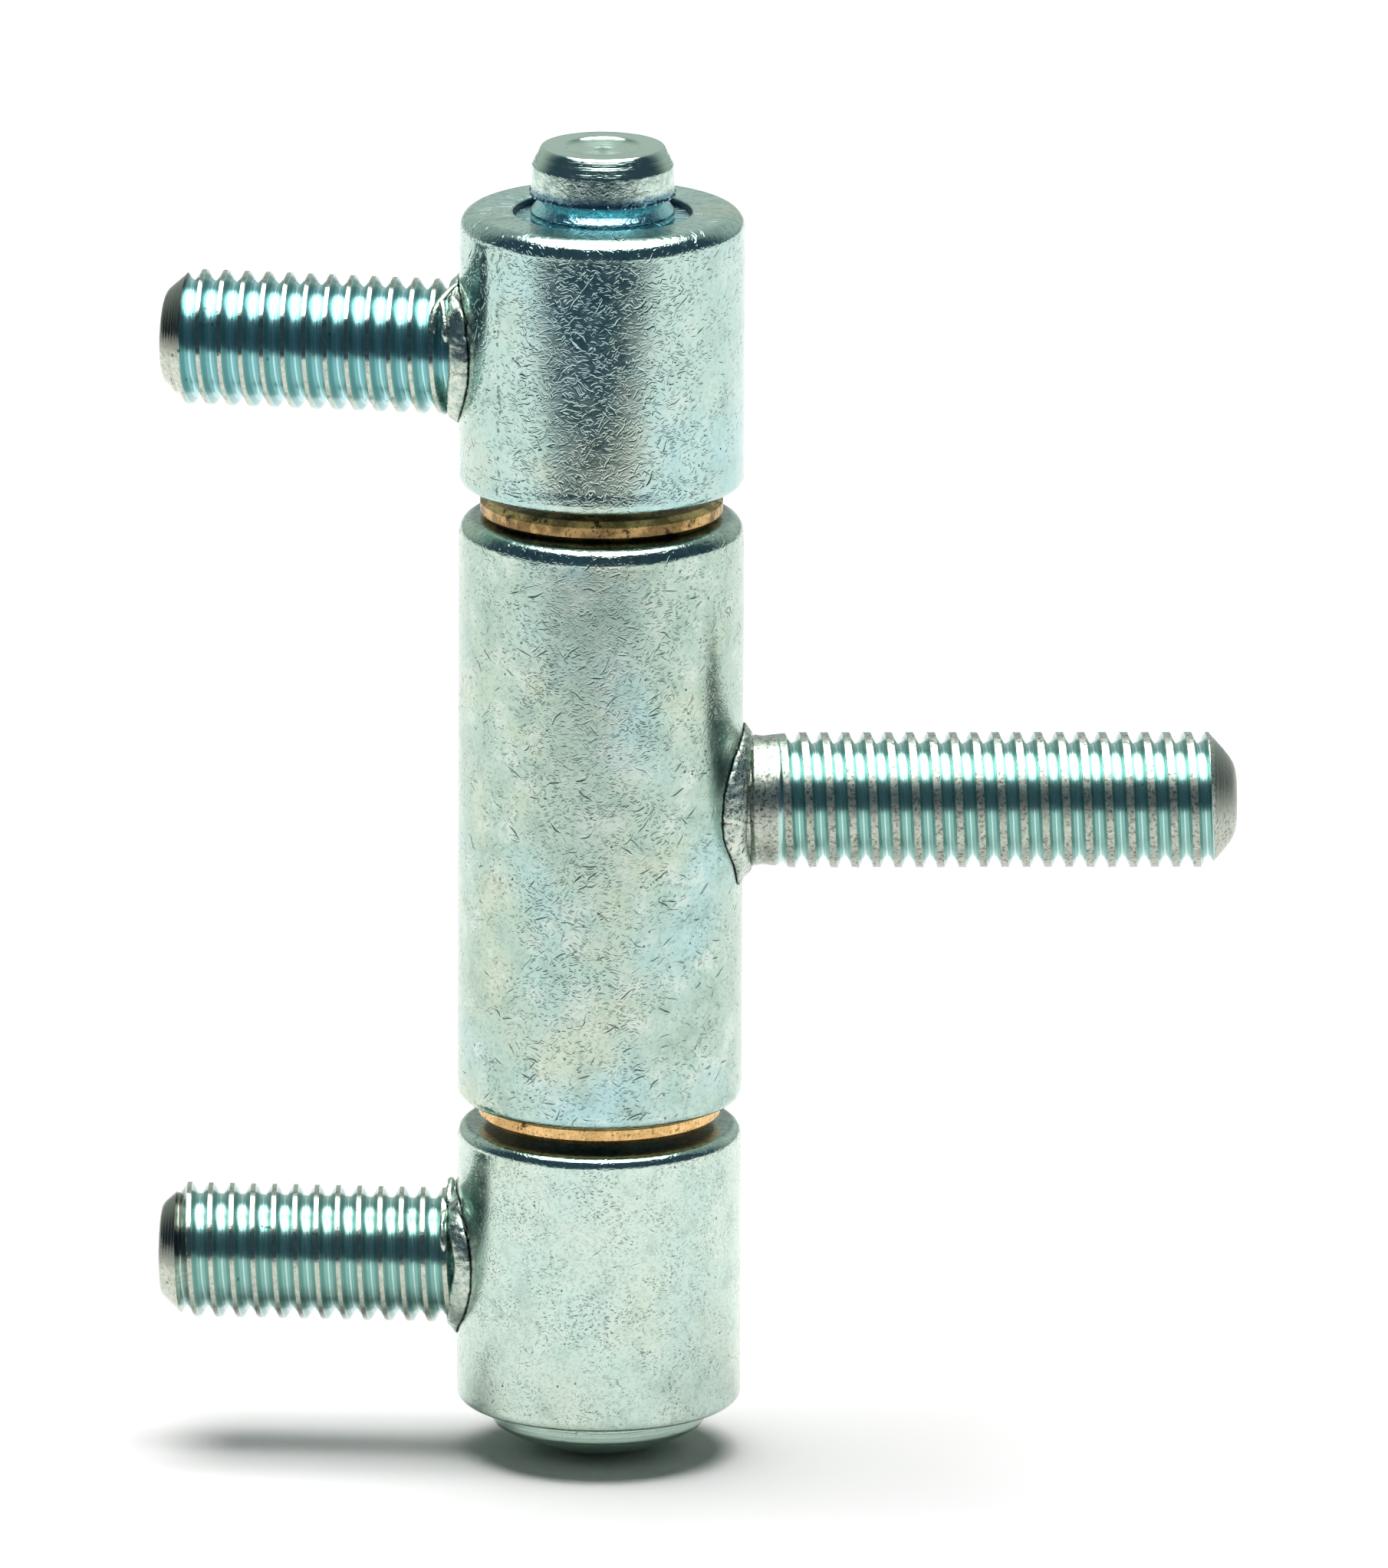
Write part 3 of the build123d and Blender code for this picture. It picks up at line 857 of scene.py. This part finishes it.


# %% [markdown]
# The flash has the same zinc over a torn, lumpy skin. Where it meets the barrel the material is painted darker
# within a tenth of a millimetre of the barrel's wall, as painted shade, and a little rust sits in its deepest pits.

# %% Zinc on the flash
def zinc_flash(name, stud, seed, speckle):
    """Torn zinc with dark specks and a little rust, and nearly black with painted shade where it meets the barrel."""
    tree = Tree(name)
    point = along_stud(tree, stud)[0]
    x, y, z = tree.pieces(point)
    from_pin = tree.vector("LENGTH", tree.together(x, y, 0.0), output="Value")
    above_wall = tree.minus(from_pin, barrel_radius)
    shifted = tree.vector("ADD", point, (seed, 0, seed * 1.3))
    torn = tree.noise(shifted, 1.1, 5.0, 0.7)
    grain = tree.noise(shifted, 3.4, 5.0, 0.72)
    colour = tree.mix(tree.ramp(torn, 0.38, 0.62), (0.62, 0.67, 0.57), (0.42, 0.54, 0.48))
    colour = tree.mix(tree.ramp(grain, 0.51, 0.61, 0.0, speckle), colour, (0.05, 0.06, 0.05))
    rust = tree.ramp(tree.noise(shifted, 1.6, 4.0, 0.7), 0.62, 0.70, 0.0, 0.7)
    colour = tree.mix(rust, colour, (0.12, 0.06, 0.03))
    # Painted shade: nearly black within a tenth of a millimetre of the barrel's wall.
    painted_crevice_shade = tree.ramp(tree.plus(above_wall, tree.times(tree.minus(grain, 0.5), 0.25)), 0.16, 0.03)
    colour = tree.mix(painted_crevice_shade, colour, (0.012, 0.016, 0.014))
    normal = tree.bump(grain, 0.05 * speckle, under=tree.bump(torn, 0.08))
    return tree.metal(colour, tree.ramp(torn, 0.35, 0.65, 0.15, 0.34), normal)


for thread, flash, stud, look in (
    (door_thread, door_flash, door_stud, dict(
        seed=2.0, root_colour=teal_root, neck_end=12.6, roughen=0.030, crest_rough=0.32,
        crest_colour=speckled_crest, speckle=0.95, tip_shade=0.5)),
    (upper_thread, upper_flash, upper_stud, dict(
        seed=31.0, root_colour=blue_root, neck_end=9.0, roughen=0.008, crest_rough=0.12,
        crest_colour=bright_crest, speckle=0.4, tip_shade=0.25)),
    (lower_thread, lower_flash, lower_stud, dict(
        seed=57.0, root_colour=teal_root, neck_end=9.0, roughen=0.012, crest_rough=0.17,
        crest_colour=bright_crest, speckle=0.4, tip_shade=0.3)),
):
    thread.data.materials.append(zinc_thread(thread.name + "_zinc", stud, **look))
    flash.data.materials.append(zinc_flash(flash.name + "_zinc", stud, look["seed"], look["speckle"]))
    print(thread.name, "and", flash.name, "are plated")
upper_strips.data.materials.append(upper_flash.data.materials[0])
lower_strips.data.materials.append(lower_flash.data.materials[0])

# %% [markdown]
# A mirror-bright part is lit by its room. The hinge stands on a white table under one large round soft light. The
# wall behind is pale, and the room in front, where the camera stands, is dark, also past the table's soft front edge.
# The barrels mirror the table and, high up, its front edge and the dark beyond, which gives the dark band down the
# top knuckle. The room is a dome and the table's edge is a card, and only reflections see them, so the floor stays
# evenly lit and the view stays clear from every side.

# %% Stand it on a white table
def stage_piece(bm, name, material, reflected_only=True):
    """A piece of the room, which isn't part of the hinge. Most are seen only in reflections."""
    bmesh.ops.recalc_face_normals(bm, faces=bm.faces)
    mesh = bpy.data.meshes.new(name)
    bm.to_mesh(mesh)
    bm.free()
    mesh.materials.append(material)
    piece = bpy.data.objects.new(name, mesh)
    bpy.context.scene.collection.objects.link(piece)
    if reflected_only:
        piece.visible_camera = False
        piece.visible_diffuse = False
        piece.visible_shadow = False
        piece.visible_transmission = False
    return piece


def table_white():
    """A dull white, with no shine."""
    tree = Tree("table_white")
    grain = tree.noise(tree.coordinates, 60.0, 3.0)
    tree.plug(tree.shader.inputs["Base Color"], tree.mix(grain, (0.885, 0.87, 0.87), (0.905, 0.89, 0.89)))
    tree.shader.inputs["Roughness"].default_value = 0.9
    tree.shader.inputs["Specular IOR Level"].default_value = 0.0
    return tree.material


table_shape = bmesh.new()
bmesh.ops.create_circle(table_shape, cap_ends=True, segments=96, radius=6.0)
bmesh.ops.translate(table_shape, vec=(pin_x, 0, pin_low * mm), verts=table_shape.verts)
table = stage_piece(table_shape, "white_table", table_white(), reflected_only=False)

# %% [markdown]
# The room's dome is one glowing shell. Its brightness is worked out from the direction of each of its points: how
# high it is gives the round soft light at the top, and how far back it is gives the pale wall.

# %% Close the room round it
room_radius = 1.6
soft_light_edge = (55.5, 60.5)
soft_light_glow = 7.0
dark_air = (0.040, 0.078, 0.115)
table_glow = 1.25


def glowing(tree, colour):
    """Makes a tree's surface glow with a colour."""
    glow = tree.nodes.new("ShaderNodeEmission")
    tree.plug(glow.inputs["Color"], node_colour(colour))
    tree.links.new(glow.outputs[0], tree.nodes["Material Output"].inputs["Surface"])
    return tree.material


def room_glow():
    """The soft light overhead, the pale wall behind and the dark air in front, by direction."""
    tree = Tree("room_glow")
    direction = tree.vector("NORMALIZE", tree.coordinates)
    x, y, z = tree.pieces(direction)
    flat = tree.vector("NORMALIZE", tree.together(x, y, 0.0))
    behind = tree.ramp(tree.pieces(flat)[1], 0.15, 0.8)
    low_back = tree.mix(tree.ramp(z, 0.02, 0.10), (0.25, 0.33, 0.30), (0.58, 0.66, 0.62))
    back = tree.mix(tree.ramp(z, 0.35, 0.78), low_back, (0.34, 0.42, 0.42))
    wall = tree.mix(behind, dark_air, back)
    low, high = (sin(radians(angle)) for angle in soft_light_edge)
    glow = (soft_light_glow * 0.97, soft_light_glow, soft_light_glow)
    return glowing(tree, tree.mix(tree.ramp(z, low, high), wall, glow))


dome_shape = bmesh.new()
bmesh.ops.create_uvsphere(dome_shape, u_segments=64, v_segments=32, radius=room_radius)
whole_dome = dome_shape.verts[:] + dome_shape.edges[:] + dome_shape.faces[:]
bmesh.ops.bisect_plane(dome_shape, geom=whole_dome, dist=0.0001, plane_co=(0, 0, pin_low * mm + 0.002),
                       plane_no=(0, 0, -1), clear_outer=True)
dome = stage_piece(dome_shape, "studio_dome", room_glow())

# %% [markdown]
# The table ends softly in front. A card lies a hair above it and fades from the table's own white to the dark of the
# room. It is turned a little to the left, which sets the dark band left of the knuckle's middle as it is there.

# %% Fade out the table's front edge
fade_start = 0.222
fade_end = 0.310
fade_turn = radians(-9)
card_width = 3.0
card_depth = 1.3


def fading_table():
    """The table's white, which fades into the dark air in front."""
    tree = Tree("fading_table")
    from_pin = tree.vector("SUBTRACT", tree.coordinates, (pin_x, 0, 0))
    towards = (sin(fade_turn), -cos(fade_turn), 0)
    distance = tree.vector("DOT_PRODUCT", from_pin, towards, output="Value")
    share = tree.ramp(distance, fade_start, fade_end)
    return glowing(tree, tree.mix(share, (table_glow, table_glow * 0.985, table_glow * 0.985), dark_air))


card_shape = bmesh.new()
bmesh.ops.create_grid(card_shape, x_segments=1, y_segments=1, size=0.5)
bmesh.ops.scale(card_shape, vec=(card_width, card_depth, 1), verts=card_shape.verts)
bmesh.ops.translate(card_shape, vec=(0, -fade_start - card_depth / 2, 0), verts=card_shape.verts)
bmesh.ops.rotate(card_shape, cent=(0, 0, 0), matrix=Matrix.Rotation(fade_turn, 3, "Z"), verts=card_shape.verts)
bmesh.ops.translate(card_shape, vec=(pin_x, 0, pin_low * mm + 0.0002), verts=card_shape.verts)
table_end = stage_piece(card_shape, "table_front_edge", fading_table())

# %% [markdown]
# The lamp that lights the table is a soft sun straight overhead. It isn't seen in reflections, as the dome already
# shows the soft light there. The world is white behind the hinge, and a weak greenish fill for the shadows.

# %% Light it from above
sun_data = bpy.data.lights.new("overhead_softbox", "SUN")
sun_data.energy = 4.3
sun_data.angle = radians(50)
sun = bpy.data.objects.new("overhead_softbox", sun_data)
bpy.context.scene.collection.objects.link(sun)
sun.rotation_euler = (radians(-4), 0, 0)
sun.visible_glossy = False

world = bpy.data.worlds.new("white_room")
bpy.context.scene.world = world
world.use_nodes = True
sky = world.node_tree
path = sky.nodes.new("ShaderNodeLightPath")
seen = path.outputs["Is Camera Ray"]
for other_ray in ("Is Glossy Ray", "Is Transmission Ray"):
    either = sky.nodes.new("ShaderNodeMath")
    either.operation = "MAXIMUM"
    sky.links.new(seen, either.inputs[0])
    sky.links.new(path.outputs[other_ray], either.inputs[1])
    seen = either.outputs[0]
sky_colour = sky.nodes.new("ShaderNodeMix")
sky_colour.data_type = "RGBA"
sky.links.new(seen, sky_colour.inputs["Factor"])
sky_colour.inputs["A"].default_value = (0.07, 0.088, 0.078, 1)
sky_colour.inputs["B"].default_value = (1, 1, 1, 1)
sky.links.new(sky_colour.outputs["Result"], sky.nodes["Background"].inputs["Color"])
print("lights:", sun.name, "and", world.name)

# %% [markdown]
# The photographer stood back with a long lens, a little above the hinge, so its upright lines stay nearly parallel.
# The distance and the height come from how round the ends of the barrels look. The picture is 1810 by 2044 pixels,
# and its long side sets the lens.

# %% Set the camera
picture_height = 2044
pixels_per_mm = 18.6
camera_back = 1832.0
camera_rise = 483.15
camera_turn = radians(-1.0)
camera_roll = 0.0045
look_at = Vector((-4.95, 0.0, 1.15)) * mm

camera_place = Vector((
    pin_x + camera_back * mm * sin(camera_turn), -camera_back * mm * cos(camera_turn), camera_rise * mm,
))
camera_data = bpy.data.cameras.new("camera")
camera_data.sensor_fit = "AUTO"
camera_data.sensor_width = 36
camera_data.lens = pixels_per_mm * (camera_place - look_at).length / mm / picture_height * camera_data.sensor_width
camera_data.clip_start = 0.05
camera_data.clip_end = 50
camera = bpy.data.objects.new("camera", camera_data)
bpy.context.scene.collection.objects.link(camera)
camera.location = camera_place
camera.rotation_mode = "QUATERNION"
aim = (look_at - camera_place).to_track_quat("-Z", "Y")
camera.rotation_quaternion = aim @ Matrix.Rotation(camera_roll, 3, "Z").to_quaternion()
bpy.context.scene.camera = camera
bpy.context.scene.view_settings.view_transform = "Standard"
print("lens", round(camera_data.lens, 1), "mm")
